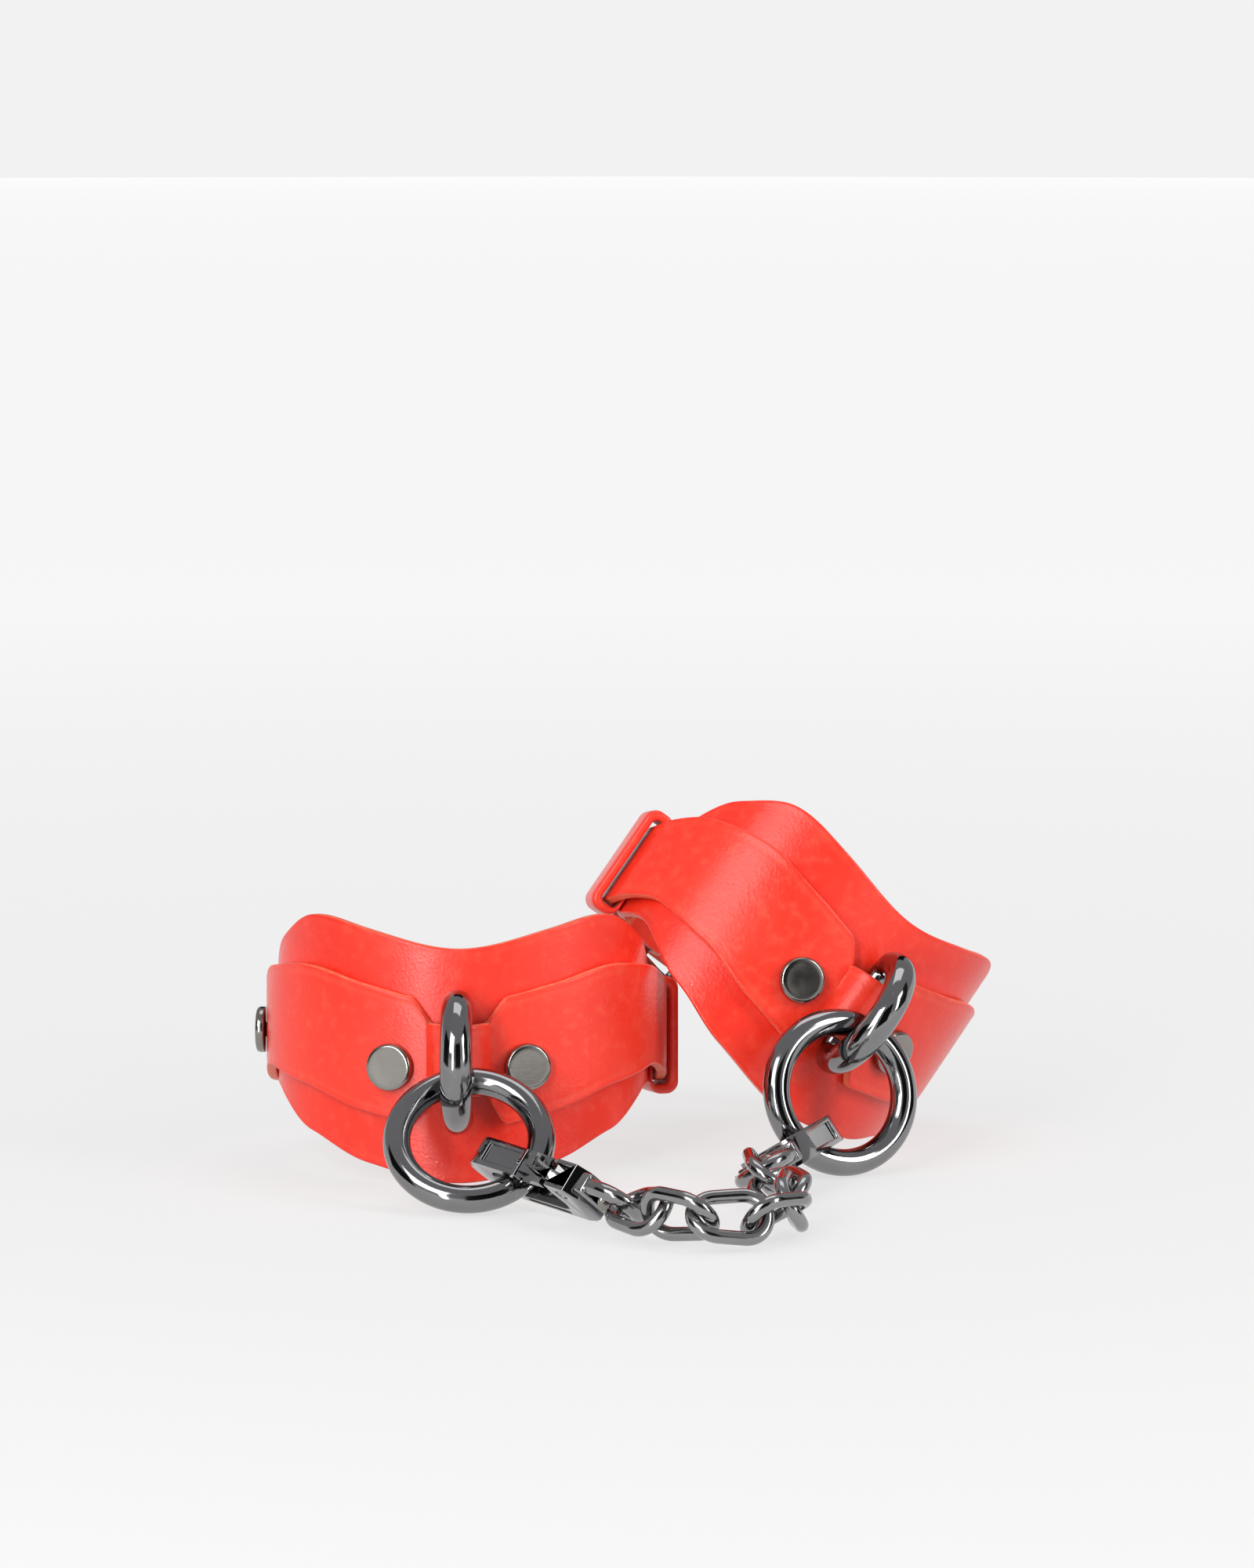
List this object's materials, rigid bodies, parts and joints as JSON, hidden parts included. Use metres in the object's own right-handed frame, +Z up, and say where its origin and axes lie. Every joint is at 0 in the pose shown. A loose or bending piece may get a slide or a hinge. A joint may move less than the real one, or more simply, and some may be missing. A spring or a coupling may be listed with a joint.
{
  "type": "linked wrist cuffs",
  "caption": "Pair of buckled leather wrist cuffs with D-rings and O-rings, joined by swivel snap hooks and a short curb chain.",
  "frame": {"origin": "middle of the bounding box, on the surface the pair lies on", "axes": "+Z up, -Y towards the viewer, +X to the right; the left cuff stands upright with its D-ring facing -Y"},
  "size_m": [0.1584, 0.1658, 0.0759],
  "materials": {
    "leather": "smooth grain, semi-gloss",
    "gunmetal": "polished dark nickel",
    "rivet_metal": "satin dark nickel",
    "spring_steel": "bright wire"
  },
  "bodies": {
    "left_cuff": {"left_base_band": "leather", "left_strap": "leather", "left_front_rivet_a": "rivet_metal", "left_front_rivet_b": "rivet_metal", "left_side_rivet": "rivet_metal", "left_fold_rivet": "rivet_metal"},
    "right_cuff": {"right_base_band": "leather", "right_strap": "leather", "right_front_rivet_a": "rivet_metal", "right_front_rivet_b": "rivet_metal", "right_side_rivet": "rivet_metal", "right_fold_rivet": "rivet_metal"},
    "left_keeper_loop": {"left_keeper": "leather"},
    "left_buckle": {"left_buckle_frame": "gunmetal"},
    "left_buckle_prong": {"left_prong": "gunmetal"},
    "left_d": {"left_d_ring": "gunmetal"},
    "left_o": {"left_o_ring": "gunmetal"},
    "left_hook": {"left_hook_body": "gunmetal", "left_hook_gate_pin": "rivet_metal", "left_hook_gate_spring": "spring_steel", "left_hook_swivel_post": "rivet_metal"},
    "left_gate": {"left_hook_gate": "gunmetal"},
    "left_eye": {"left_hook_eye": "gunmetal"},
    "right_keeper_loop": {"right_keeper": "leather"},
    "right_buckle": {"right_buckle_frame": "gunmetal"},
    "right_buckle_prong": {"right_prong": "gunmetal"},
    "right_d": {"right_d_ring": "gunmetal"},
    "right_o": {"right_o_ring": "gunmetal"},
    "right_hook": {"right_hook_body": "gunmetal", "right_hook_gate_pin": "rivet_metal", "right_hook_gate_spring": "spring_steel", "right_hook_swivel_post": "rivet_metal"},
    "right_gate": {"right_hook_gate": "gunmetal"},
    "right_eye": {"right_hook_eye": "gunmetal"},
    "link_1": {"chain_link_1": "gunmetal"},
    "link_2": {"chain_link_2": "gunmetal"},
    "link_3": {"chain_link_3": "gunmetal"},
    "link_4": {"chain_link_4": "gunmetal"},
    "link_5": {"chain_link_5": "gunmetal"},
    "link_6": {"chain_link_6": "gunmetal"},
    "link_7": {"chain_link_7": "gunmetal"}
  },
  "joints": [
    {"name": "left_keeper_slide", "type": "slide", "parent": "left_cuff", "child": "left_keeper_loop", "axis": [-0.339, 0.9385, -0.0656], "range_m": [0, 0.0015]},
    {"name": "left_buckle_swing", "type": "hinge", "parent": "left_cuff", "child": "left_buckle", "pos_m": [-0.01812, 0.04866, 0.02342], "axis": [0, -0.0698, -0.9976], "range_deg": [0, 10]},
    {"name": "left_prong_swing", "type": "hinge", "parent": "left_buckle", "child": "left_buckle_prong", "pos_m": [-0.01812, 0.04866, 0.02342], "axis": [0, -0.0698, -0.9976], "range_deg": [0, 15]},
    {"name": "left_gate_swing", "type": "hinge", "parent": "left_hook", "child": "left_gate", "pos_m": [-0.01169, -0.05305, 0.00885], "axis": [-0.5026, -0.3578, -0.787], "range_deg": [0, 28], "stiffness_Nm_per_rad": 0.01},
    {"name": "right_keeper_slide", "type": "slide", "parent": "right_cuff", "child": "right_keeper_loop", "axis": [-0.1893, 0.9699, -0.1533], "range_m": [0, 0.0015]},
    {"name": "right_buckle_swing", "type": "hinge", "parent": "right_cuff", "child": "right_buckle", "pos_m": [0.00946, 0.0646, 0.04659], "axis": [0.5609, 0.235, 0.7938], "range_deg": [0, 10]},
    {"name": "right_prong_swing", "type": "hinge", "parent": "right_buckle", "child": "right_buckle_prong", "pos_m": [0.00946, 0.0646, 0.04659], "axis": [0.5609, 0.235, 0.7938], "range_deg": [0, 15]},
    {"name": "right_gate_swing", "type": "hinge", "parent": "right_hook", "child": "right_gate", "pos_m": [0.02843, -0.02083, 0.00568], "axis": [0.5002, -0.1758, -0.8479], "range_deg": [0, 28], "stiffness_Nm_per_rad": 0.01},
    {"name": "left_d_swing", "type": "hinge", "parent": "left_cuff", "child": "left_d", "pos_m": [-0.035, -0.01239, 0.02679], "axis": [0, -0.0698, -0.9976], "range_deg": [0, 20]},
    {"name": "left_o_swing", "type": "hinge", "parent": "left_d", "child": "left_o", "pos_m": [-0.035, -0.02114, 0.02359], "axis": [0.9833, 0.1315, 0.1261], "range_deg": [0, 20]},
    {"name": "left_hook_swing", "type": "hinge", "parent": "left_o", "child": "left_hook", "pos_m": [-0.02033, -0.03792, 0.00749], "axis": [-0.5878, -0.5839, -0.56], "range_deg": [0, 20]},
    {"name": "left_swivel", "type": "hinge", "parent": "left_hook", "child": "left_eye", "pos_m": [-0.00615, -0.05536, 0.00637], "axis": [0.63, -0.775, -0.05], "range_deg": [0, 30]},
    {"name": "link_1_swing", "type": "hinge", "parent": "left_eye", "child": "link_1", "pos_m": [-0.00017, -0.06272, 0.0059], "axis": [0, 0, -1], "range_deg": [0, 7]},
    {"name": "link_2_swing", "type": "hinge", "parent": "link_1", "child": "link_2", "pos_m": [0.00565, -0.07204, 0.0064], "axis": [0, 0, -1], "range_deg": [0, 15]},
    {"name": "link_3_swing", "type": "hinge", "parent": "link_2", "child": "link_3", "pos_m": [0.01465, -0.07834, 0.0069], "axis": [0, 0, -1], "range_deg": [0, 15]},
    {"name": "link_4_swing", "type": "hinge", "parent": "link_3", "child": "link_4", "pos_m": [0.02551, -0.07662, 0.0065], "axis": [0, 0, -1], "range_deg": [0, 15]},
    {"name": "link_5_swing", "type": "hinge", "parent": "link_4", "child": "link_5", "pos_m": [0.03243, -0.06808, 0.0069], "axis": [0, 0, -1], "range_deg": [0, 15]},
    {"name": "link_6_swing", "type": "hinge", "parent": "link_5", "child": "link_6", "pos_m": [0.03243, -0.05708, 0.007], "axis": [0, 0, -1], "range_deg": [0, 15]},
    {"name": "link_7_swing", "type": "hinge", "parent": "link_6", "child": "link_7", "pos_m": [0.02885, -0.04673, 0.00807], "axis": [0, 0, -1], "range_deg": [0, 8]},
    {"name": "right_eye_swing", "type": "hinge", "parent": "link_7", "child": "right_eye", "pos_m": [0.02687, -0.03592, 0.00789], "axis": [0, 0, -1], "range_deg": [0, 5]},
    {"name": "right_swivel", "type": "hinge", "parent": "right_eye", "child": "right_hook", "pos_m": [0.02973, -0.02686, 0.0077], "axis": [0.3011, 0.9534, -0.0201], "range_deg": [0, 30]},
    {"name": "right_hook_swing", "type": "hinge", "parent": "right_hook", "child": "right_o", "pos_m": [0.0365, -0.00541, 0.00725], "axis": [0.7332, 0.1288, -0.6677], "range_deg": [0, 9]},
    {"name": "right_o_swing", "type": "hinge", "parent": "right_o", "child": "right_d", "pos_m": [0.04894, 0.00764, 0.03027], "axis": [0.8663, 0.2684, -0.4214], "range_deg": [0, 20]},
    {"name": "right_d_swing", "type": "hinge", "parent": "right_d", "child": "right_cuff", "pos_m": [0.04827, 0.0165, 0.03228], "axis": [0.5609, 0.235, 0.7938], "range_deg": [0, 15]}
  ]
}
